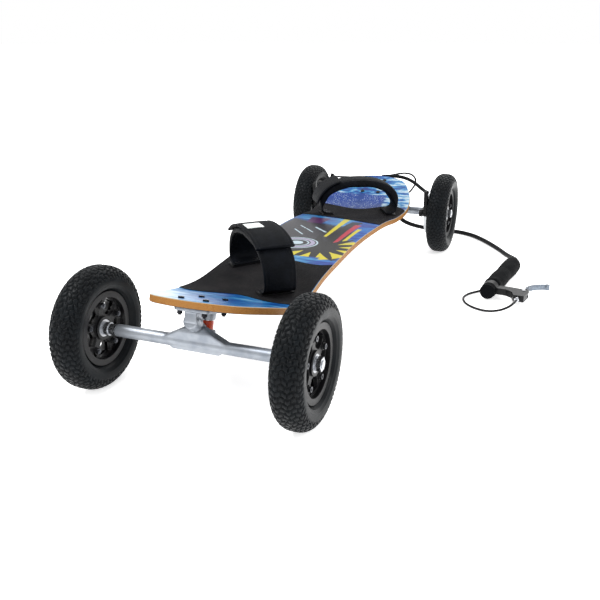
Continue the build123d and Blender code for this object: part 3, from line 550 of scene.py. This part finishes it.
bloom = place_of(paint).noise(90.0, 3.0)
coat(paint, urethane_paint, *bushings,
     Base_Color=blend(rise(bloom, 0.3, 0.7), ink(226, 74, 16), ink(196, 52, 14)),
     Roughness=0.34, Subsurface_Weight=0.25, Subsurface_Radius=(0.006, 0.002, 0.001),
     Subsurface_Scale=0.5, Normal=worn_edge(paint, 0.0012))

# ---- the tyres ----
# Pneumatic tyres, 200 mm tall and 50 mm wide, moulded in black rubber. Rows of
# small staggered zigzag blocks cover the crown and the shoulders; the sidewalls are smooth.
AROUND = 612
TREAD_ROWS = 68
TREAD_PITCH = 0.0088
TREAD_DEPTH = 0.0024
TREAD_REACH = 0.036
half_section = curve_through(((0.0, 0.100), (0.0085, 0.0995), (0.0155, 0.0968), (0.0212, 0.0915),
                              (0.0243, 0.0850), (0.0250, 0.0780), (0.0238, 0.0710),
                              (0.0206, 0.0655), (0.0165, 0.0622), (0.0140, 0.0608)), 76)
section = np.concatenate([half_section[:0:-1] * (-1, 1), half_section])
slope = np.gradient(section, axis=0)
slope /= np.linalg.norm(slope, axis=1)[:, None]
outward = np.stack([-slope[:, 1], slope[:, 0]], -1)
steps = np.linalg.norm(np.diff(half_section, axis=0), axis=1)
from_crown = np.concatenate([[0], np.cumsum(steps)])
across = np.concatenate([-from_crown[:0:-1], from_crown])
turn = 2 * math.pi * np.arange(AROUND) / AROUND


def ramp(value, start, end):
    """Climbs smoothly from 0 to 1 as an array goes from start to end."""
    share = np.clip((value - start) / (end - start), 0, 1)
    return share * share * (3 - 2 * share)


zigzag = np.abs((across / (2 * TREAD_PITCH)) % 1.0 - 0.5) * 4 - 1
lines = turn[:, None] * TREAD_ROWS / (2 * math.pi) + 0.30 * zigzag[None, :]
row_gap = 0.5 - np.abs(lines % 1.0 - 0.5)
cells = across[None, :] / TREAD_PITCH + 0.5 * (np.floor(lines) % 2)
cell_gap = 0.5 - np.abs(cells % 1.0 - 0.5)
blocks = ramp(row_gap, 0.07, 0.21) * ramp(cell_gap, 0.06, 0.17)
tread = ramp(np.abs(across), TREAD_REACH, TREAD_REACH - 0.004)
rings = (0.0005 * np.exp(-(((section[:, 1] - 0.0655) / 0.0008) ** 2))
         + 0.0004 * np.exp(-(((section[:, 1] - 0.0708) / 0.0006) ** 2)))
push = -TREAD_DEPTH * (1 - blocks) * tread[None, :] + rings[None, :]
profile_x = section[None, :, 0] + push * outward[None, :, 0]
profile_r = section[None, :, 1] + push * outward[None, :, 1]
inner = np.array(((0.0140, 0.0535), (0.0100, 0.0535), (0.0115, 0.0680), (0.0205, 0.0790),
                  (0.0150, 0.0900), (0.0, 0.0935)))
inner = np.concatenate([inner, inner[-2::-1] * (-1, 1)])
lap_x = np.concatenate([profile_x, np.tile(inner[:, 0], (AROUND, 1))], 1)
lap_r = np.concatenate([profile_r, np.tile(inner[:, 1], (AROUND, 1))], 1)
tyre_points = np.stack([lap_x, lap_r * np.cos(turn)[:, None], lap_r * np.sin(turn)[:, None]], -1)
tyre_faces = grid_faces(AROUND, lap_x.shape[1], True, True)

rubber_paint, paint = new_paint("tyre_rubber")
spot = place_of(paint)
skin = spot.noise(1800.0, 2.0)
chalk = spot.noise(40.0, 4.0)
rubber = blend(rise(chalk, 0.35, 0.75), ink(2, 5, 8), ink(6, 12, 16))
wheels = [f"{end}_{side}" for end in ("front", "rear") for side in ("left", "right")]
tyres = []
for wheel in wheels:
    low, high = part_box(f"{wheel}_tyre")
    tyre = new_piece(f"{wheel}_treaded_tyre", tyre_points + np.array((low + high) / 2), tyre_faces,
                     body=f"{wheel}_wheel")
    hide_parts(f"{wheel}_tyre")
    tyres.append(tyre)
coat(paint, rubber_paint, *tyres, Base_Color=rubber, Normal=relief(skin, 0.00008),
     Roughness=0.42 + (chalk - 0.5) * 0.3, Specular_IOR_Level=0.13)

# ---- the wheels' hubs ----
# Two glass-filled nylon halves, bolted together round the tyre's bead on five forked
# spokes, with a shielded steel bearing in each.
nylon_paint, paint = new_paint("hub_nylon")
spot = place_of(paint)
moulded = spot.noise(900.0, 3.0)
chalk = spot.noise(55.0, 3.0)
coat(paint, nylon_paint, *[nodes[f"{w}_rim_{s}"] for w in wheels for s in ("outer", "inner")],
     nodes["pivot_cups"], Base_Color=blend(rise(chalk, 0.3, 0.7), ink(4, 4, 6), ink(9, 9, 12)),
     Specular_IOR_Level=0.3, Roughness=0.40 + (moulded - 0.5) * 0.3,
     Normal=relief(moulded, 0.00008, worn_edge(paint, 0.0012)))
metal_finish("bearing_steel", ink(186, 188, 192), 0.3, 0.0006, 0.3,
             [nodes[f"{w}_bearings"] for w in wheels])
metal_finish("dull_bolt", ink(92, 94, 99), 0.34, 0.0005, 0.5,
             [nodes[f"{w}_hub_bolts"] for w in wheels])

# ---- the brakes ----
# A pressed steel ring on each rear wheel, and a pair of black forged arms that squeeze it.
metal_finish("rotor_steel", ink(206, 208, 210), 0.24, 0.0005, 0.2,
             [nodes["left_rotor"], nodes["right_rotor"]])
arms = []
for side in ("left", "right"):
    for end in ("front", "back"):
        arms.append(nodes[f"{side}_brake_arm_{end}"])
metal_finish("arm_black", ink(8, 9, 11), 0.42, 0.001, 0.4, arms + [nodes["brake_brackets"]], 0.0)

# ---- the bindings ----
# A padded woven strap arches over each foot, bound along both edges with piping, and both
# its ends turn in over small plates. A wider flap closes over the front strap's top, which
# carries a blank label, and over the rear strap's side.
# Each binding: its end, the x and y of its centre, and its turn in degrees.
BINDINGS = (("front", -0.0025, -0.2495, -45.8), ("rear", 0.010, 0.288, 29.8))
STRAP_LINE = ((0.066, 0.0056), (0.080, 0.0058), (0.0895, 0.0105), (0.0937, 0.022), (0.0937, 0.036),
              (0.0905, 0.052), (0.0815, 0.067), (0.0660, 0.0785), (0.045, 0.0862), (0.022, 0.0902),
              (0.0, 0.0912))
arch_top = STRAP_LINE[-1][1]
STRAP_SIDES = 72
PLAN_TO_DECK = 1.004


def inward_of(line):
    """The unit normals of a line in the arch's plane, which point in towards the foot."""
    tangent = np.gradient(line, axis=0)
    tangent /= np.linalg.norm(tangent, axis=1)[:, None]
    return np.stack([tangent[:, 1], -tangent[:, 0]], -1)


def strap_shape(centre_x, centre_y, angle, line, half_width, half_thick, bead, lift):
    """A flat band carried along an arch: a rounded box section with a bead along each edge.

    The half width and half thickness are functions of the share of the way along it, and
    lift, of that share and the place across, creases the face towards the foot.
    """
    share = np.linspace(0, 1, len(line))[:, None]
    around = 2 * math.pi * np.arange(STRAP_SIDES) / STRAP_SIDES
    c, s = np.cos(around)[None, :], np.sin(around)[None, :]
    wide = half_width(share) * np.sign(c) * np.abs(c) ** 0.42
    thick = half_thick(share) * np.sign(s) * np.abs(s) ** 0.70
    near_edge = np.exp(-(((np.abs(wide) - half_width(share) + 0.0022) / 0.0016) ** 2))
    seam = np.exp(-(((np.abs(wide) - half_width(share) + 0.0062) / 0.0011) ** 2))
    thick = thick + np.sign(s) * (bead * near_edge - 0.6 * bead * seam) * np.abs(s) ** 0.3
    thick = thick + np.clip(s, 0, 1) ** 0.5 * lift(share, wide)
    normal = inward_of(line)
    t = line[:, :1] + normal[:, :1] * thick
    h = line[:, 1:] + normal[:, 1:] * thick
    cos, sin = math.cos(math.radians(angle)), math.sin(math.radians(angle))
    x = centre_x + t * cos + wide * sin
    y = centre_y + t * sin - wide * cos
    here = on_deck(0 * y, y * PLAN_TO_DECK, 0)[..., 2]
    there = on_deck(0.0, centre_y * PLAN_TO_DECK, 0)[2]
    fade = np.clip(1 - h / arch_top, 0, 1) ** 2
    z = there + h + (here - there) * fade + 0.001
    points = np.stack([x, y, z], -1)
    caps = points[[0, -1]].mean(1, keepdims=True).repeat(STRAP_SIDES, 1)
    return np.concatenate([caps[:1], points, caps[1:]])


# Each flap's limits across the foot, its lowest height and its half width. Then the half
# thickness of each strap's pad, and the scale of each arch's two sides and its height.
FLAP_REACH = {"front": (-0.070, 0.076, 0.048), "rear": (-0.100, -0.045, 0.030)}
FLAP_HALF = {"front": 0.034, "rear": 0.040}
PAD_HALF = {"front": 0.0046, "rear": 0.0086}
ARCH_SCALE = {"front": (0.87, 1.0, 0.93), "rear": (0.90, 0.88, 0.86)}
FOOT_SPREAD = 0.10
STRAP_HALF = 0.0295
WEBBING_HALF = 0.0014
FLAP_LIFT = 0.0048
FLAP_THICK_HALF = 0.0028
straps, flaps = [], []


def strap_piece(name, rings):
    """A strap's mesh piece from its rings of points, riding on the deck."""
    faces = grid_faces(len(rings), rings.shape[1], False, True)
    return new_piece(name, rings, faces, 0.00002, "deck")


def scaled_arch(end):
    """One binding's arch: its two sides and its height each scaled from the common one."""
    left, right, high = ARCH_SCALE[end]
    sideways = np.where(middle_line[:, 0] < 0, left, right)
    return middle_line * np.stack([sideways, 0 * sideways + high], -1)


half_line = np.array(STRAP_LINE)
full_line = np.concatenate([half_line, half_line[-2::-1] * (-1, 1)])
middle_line = curve_through(full_line, 150)[::-1]
for end, centre_x, centre_y, angle in BINDINGS:
    wrinkle = 5.0 if end == "front" else 8.0
    end_line = scaled_arch(end)
    end_line[:, 0] *= 1 + FOOT_SPREAD * (1 - end_line[:, 1] / arch_top)
    rings = strap_shape(
        centre_x, centre_y, angle, end_line,
        lambda share: STRAP_HALF - 0.0010 * np.cos(share * 2 * math.pi),
        lambda share: WEBBING_HALF + PAD_HALF[end] * ramp(0.5 - np.abs(share - 0.5), 0.09, 0.20),
        0.0007,
        lambda share, wide: 0.0007 * np.sin(share * 34 + wide * 70 + wrinkle)
        * ramp(0.5 - np.abs(share - 0.5), 0.12, 0.25))
    straps.append(strap_piece(f"{end}_strap", rings))
    low, high, floor_height = FLAP_REACH[end]
    flap_line = end_line[(end_line[:, 0] > low) & (end_line[:, 0] < high)]
    flap_line = flap_line[flap_line[:, 1] > floor_height]
    flap_line = flap_line - inward_of(flap_line) * (FLAP_LIFT + PAD_HALF[end])
    rings = strap_shape(
        centre_x, centre_y, angle, flap_line,
        lambda share: FLAP_HALF[end] + 0 * share, lambda share: FLAP_THICK_HALF + 0 * share, 0.0006,
        lambda share, wide: 0.0008 * np.sin(share * 9 + wide * 55 + wrinkle))
    flaps.append(strap_piece(f"{end}_flap", rings))
LABEL_SHIFT = 0.012
LABEL_CENTRE = 0.004
LABEL_HALF = 0.015
LABEL_LIFT = 0.0137
front_x, front_y, front_angle = BINDINGS[0][1:]
cos, sin = math.cos(math.radians(front_angle)), math.sin(math.radians(front_angle))
label_line = scaled_arch("front")
label_line = label_line[np.abs(label_line[:, 0] - LABEL_CENTRE) < LABEL_HALF]
label_line = label_line - inward_of(label_line) * LABEL_LIFT
rings = strap_shape(front_x + LABEL_SHIFT * sin, front_y - LABEL_SHIFT * cos, front_angle,
                    label_line, lambda share: LABEL_HALF + 0 * share,
                    lambda share: 0.0006 + 0 * share, 0.0, lambda share, wide: 0 * wide)
label = strap_piece("blank_label", rings)
label_paint, paint = new_paint("blank_label")
soil = place_of(paint).noise(120.0, 3.0)
coat(paint, label_paint, label, Roughness=0.6,
     Base_Color=blend(rise(soil, 0.35, 0.7), ink(226, 230, 228), ink(196, 204, 202)))
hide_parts("binding_straps")
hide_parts("binding_bands")
webbing_paint, paint = new_paint("ballistic_nylon")
spot = place_of(paint)
waves = [spot.make("TexWave", {"bands_direction": way}, {"Vector": spot, "Scale": 320.0}, "Fac")
         for way in "XYZ"]
weave = (waves[0] + waves[1] + waves[2]) * 0.33
lint = spot.noise(70.0, 4.0)
coat(paint, webbing_paint, *straps, *flaps, Roughness=0.72 - weave * 0.12,
     Base_Color=blend(rise(lint, 0.35, 0.75), ink(3, 5, 9), ink(9, 12, 18)),
     Normal=relief(weave, 0.00025), Specular_IOR_Level=0.08)
metal_finish("plate_black", ink(8, 8, 10), 0.5, 0.001, 0.3,
             [nodes["binding_plates"], nodes["leash_clip"]], 0.0)

# ---- the hand brake ----
# A foam grip on an alloy tube with a rubber end cap. The black lever body clamps round
# the tube, and the polished blade turns on a pin in its fork. The foam is two soft rolls.
metal_finish("lever_body_black", ink(8, 9, 12), 0.36, 0.0012, 0.4, [nodes["lever_clamp"]], 0.0)
metal_finish("polished_pin", ink(214, 216, 220), 0.2, 0.0005, 0.2,
             [nodes["lever_pivot"], nodes["barrel_adjuster"]])
lever = softened("brake_lever", "lever_blade", 0.0006, 5, "brake_lever")
metal_finish("polished_alloy", ink(118, 127, 138), 0.16, 0.0005, 0.35, [lever])
FOAM_PROFILE = ((0.034, 0.0111), (0.0341, 0.0150), (0.036, 0.0182), (0.041, 0.0194),
                (0.052, 0.0186), (0.075, 0.0192), (0.100, 0.0197), (0.122, 0.0190),
                (0.134, 0.0183), (0.146, 0.0192), (0.170, 0.0200), (0.195, 0.0200),
                (0.212, 0.0194), (0.222, 0.0172), (0.2258, 0.0130), (0.226, 0.0001))
GRIP_CENTRE = 0.020
FOAM_SIDES = 72
FOAM_LUMP = 0.022
foam_profile = curve_through(FOAM_PROFILE, 120)
foam_turn = 2 * math.pi * np.arange(FOAM_SIDES) / FOAM_SIDES
foam_lumps = 1 - FOAM_LUMP * np.sin(foam_turn * 3 + foam_profile[:, :1] * 60) ** 2
HANDLE_TURN = math.radians(82.4)
handle_end = np.array((0.348, 0.141))
handle_axis = np.array((math.cos(HANDLE_TURN), math.sin(HANDLE_TURN)))
handle_side = np.array((handle_axis[1], -handle_axis[0]))
foam_along = foam_profile[:, :1]
foam_out = foam_profile[:, 1:] * foam_lumps * np.cos(foam_turn)[None, :]
foam_up = foam_profile[:, 1:] * foam_lumps * np.sin(foam_turn)[None, :]
foam_x = handle_end[0] + handle_axis[0] * foam_along + handle_side[0] * foam_out
foam_y = handle_end[1] + handle_axis[1] * foam_along + handle_side[1] * foam_out
foam_points = np.stack([foam_x, foam_y, ground + GRIP_CENTRE + foam_up], -1)
foam = new_piece("foam_grip", foam_points, grid_faces(*foam_points.shape[:2], False, True),
                 body="deck")
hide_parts("handle_grip")
foam_paint, paint = new_paint("foam_skin")
spot = place_of(paint)
pores = spot.noise(1100.0, 3.0)
coat(paint, foam_paint, foam, nodes["handle_end_cap"], Roughness=0.8,
     Base_Color=blend(rise(pores, 0.4, 0.7), ink(2, 3, 5), ink(7, 9, 12)),
     Specular_IOR_Level=0.08, Normal=relief(pores, 0.0003, worn_edge(paint, 0.0015)))

# ---- the cords ----
# A brake cable in black housing loops from the lever back into the grip. A wrapped sleeve,
# the leash, runs from the grip along the ground and up to the clip under the tail, and a
# cable and a shorter sleeve cross between the rear brakes.
CORD_SIDES = 20
FLARE_SPAN = (0.88, 0.985)
BULGE_AT, BULGE_REACH = 0.66, 0.09


def at_handle(a, b, height):
    """The point a along the handle, b out to its side and so high above the ground, from mm."""
    flat = handle_end + handle_axis * a * MM + handle_side * b * MM
    return (flat[0], flat[1], ground + height * MM)


def above_ground(x, y, height):
    """The point at x and y, so high above the ground, from mm."""
    return (x * MM, y * MM, ground + height * MM)


def new_cord(name, points, width, body, node, flare=0.0):
    """A tube along a NURBS route, and the points of that route.

    It widens sideways by a share of its width: by flare over its last eighth, and by six
    tenths of flare in a soft bulge two thirds of the way along.
    """
    line = bpy.data.curves.new(name + "_route", "CURVE")
    line.dimensions = "3D"
    line.resolution_u = 12
    spline = line.splines.new("NURBS")
    spline.points.add(len(points) - 1)
    for point, place in zip(spline.points, points):
        point.co = (*place, 1.0)
    spline.order_u = 3
    spline.use_endpoint_u = True
    guide = bpy.data.objects.new(name + "_route", line)
    scene.collection.objects.link(guide)
    bpy.context.view_layer.update()
    view = bpy.context.evaluated_depsgraph_get()
    drawn = bpy.data.meshes.new_from_object(guide.evaluated_get(view))
    path = [tuple(vertex.co) for vertex in drawn.vertices]
    bpy.data.objects.remove(guide)
    run = np.array(path)
    heading = np.gradient(run, axis=0)
    heading /= np.linalg.norm(heading, axis=1)[:, None]
    side = np.cross(heading[0], (0.0, 0.0, 1.0))
    sides = []
    for way in heading:
        side = side - way * side.dot(way)
        side = side / np.linalg.norm(side)
        sides.append(side)
    sides = np.array(sides)
    up = np.cross(sides, heading)
    share = np.linspace(0, 1, len(run))
    bulge = np.exp(-((share - BULGE_AT) / BULGE_REACH) ** 2)
    spread = (1 + flare * ramp(share, *FLARE_SPAN) + 0.6 * flare * bulge)[:, None]
    around = 2 * math.pi * np.arange(CORD_SIDES) / CORD_SIDES
    rings = (run[:, None] + sides[:, None] * (spread * np.cos(around) * width / 2)[:, :, None]
             + up[:, None] * (np.sin(around) * width / 2)[None, :, None])
    count = len(run) * CORD_SIDES
    faces = grid_faces(len(run), CORD_SIDES, False, True).tolist()
    faces += [list(range(CORD_SIDES)), list(range(count - CORD_SIDES, count))]
    piece = new_piece(name, rings, faces, body=body)
    wrap = piece.data.uv_layers.new(name="wrap")
    reach = np.concatenate([[0], np.cumsum(np.linalg.norm(np.diff(run, axis=0), axis=1))])
    flat = np.stack([np.repeat(reach, CORD_SIDES), np.tile(around / (2 * math.pi), len(run))], -1)
    corners = np.zeros(len(piece.data.loops), int)
    piece.data.loops.foreach_get("vertex_index", corners)
    wrap.data.foreach_set("uv", flat[corners].ravel())
    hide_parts(node)
    return piece, path


leash_route = [above_ground(*p) for p in (
    (38, 500, 153), (38, 516.5, 149.5), (38, 531, 139.5), (39, 541, 122), (41, 546, 100),
    (44, 551, 76), (52, 562, 53), (74, 587, 35.5), (103, 621, 21), (143, 655, 9),
    (190, 668, 6.5), (234, 648, 6.2), (266, 615, 6.0), (296, 574, 6.0), (326, 527, 6.0),
    (350, 480, 7), (369, 438, 13))]
leash_route += [at_handle(260, 0, 20), at_handle(226, 0, 20)]
leash, leash_path = new_cord("leash_sleeve", leash_route, 0.011, "deck", "leash", 0.45)

loop_route = [at_handle(*p) for p in (
    (-26, 67, 20), (-41, 67, 20), (-55, 61, 15), (-67, 45, 8), (-72, 20, 3.5), (-63, -10, 3),
    (-45, -33, 3), (-18, -47, 3), (10, -46, 3), (31, -37, 3), (44, -27, 3.5), (62, -13, 7))]
loop, loop_path = new_cord("lever_cable", loop_route, 0.005, "deck", "cable_loop")

cross_route = [tuple(c * MM for c in p) for p in (
    (-143.5, 556, 18), (-124, 556, 18), (-103, 558.5, 18.6), (-79, 562.5, 17.5), (-52, 566, 17),
    (-23, 568, 20), (7, 567.5, 27), (35, 566, 35), (60, 563, 40), (80, 560, 36.5), (91, 554, 23),
    (87, 547, 6), (76, 541, -8))]
cross, cross_path = new_cord("rear_brake_cable", cross_route, 0.005, "rear_hanger", "cross_cable")

sleeve_route = [tuple(c * MM for c in p) for p in (
    (147.5, 426, 19), (146.2, 442, 17), (141, 457.5, 14.5), (132, 471, 14), (121, 484, 17),
    (107.5, 495.5, 23), (91, 506, 30), (72, 515, 35), (50, 521.5, 37), (27, 525.5, 36),
    (4, 527, 33))]
sleeve, sleeve_path = new_cord("rear_brake_sleeve", sleeve_route, 0.009, "rear_hanger",
                               "brake_sleeve")

housing_paint, paint = new_paint("cable_housing")
spot = place_of(paint)
dull = spot.noise(200.0, 3.0)
coat(paint, housing_paint, loop, cross, Base_Color=blend(dull, ink(4, 4, 6), ink(10, 10, 13)),
     Specular_IOR_Level=0.2, Roughness=0.32 + dull * 0.15)
WRAPS_PER_METRE = 62.0
braid_paint, paint = new_paint("wrapped_sleeve")
wrap = paint.make("UVMap", {"uv_map": "wrap"})
along, round_it = [paint.make("SeparateXYZ", {}, {0: wrap}, i) for i in (0, 1)]
turns = abs((along * WRAPS_PER_METRE + round_it).math("FRACT") - 0.5) * 2.0
lap_edge = rise(turns, 0.72, 0.98)
threads = wrap.noise(900.0, 2.0, (1.0, 0.02, 1.0))
cloth = blend(lap_edge, blend(threads, ink(4, 5, 7), ink(13, 14, 18)), ink(2, 2, 3))
coat(paint, braid_paint, leash, sleeve, Roughness=0.6 - threads * 0.1, Base_Color=cloth,
     Specular_IOR_Level=0.1, Normal=relief(lap_edge * -1.0 + threads * 0.2, 0.0007))
